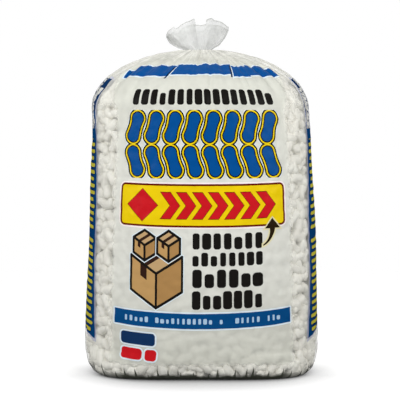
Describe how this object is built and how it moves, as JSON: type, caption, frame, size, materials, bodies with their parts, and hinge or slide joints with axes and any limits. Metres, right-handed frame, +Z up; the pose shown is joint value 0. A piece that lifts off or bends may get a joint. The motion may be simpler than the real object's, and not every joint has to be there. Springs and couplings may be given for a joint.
{
  "type": "packing peanut bag",
  "caption": "Tall clear film bag full of loose foam packing peanuts, flat at the base, gathered and tied at the neck.",
  "frame": {"origin": "middle of the flat base, on the surface the bag stands on", "axes": "+Z up along the bag to its tied neck, -Y towards the broad printed front, +X to the right of someone who faces that front"},
  "size_m": [0.6382, 0.4896, 0.9418],
  "materials": {
    "clear_film": "thin clear polyethylene film with a printed front, soft gloss, lightly crumpled",
    "foam_peanuts": "matte off-white expanded foam",
    "tie_plastic": "natural white nylon strap"
  },
  "bodies": {
    "root": {"film_bag": "clear_film", "peanut_fill": "foam_peanuts", "neck_tie": "tie_plastic"}
  },
  "joints": []
}
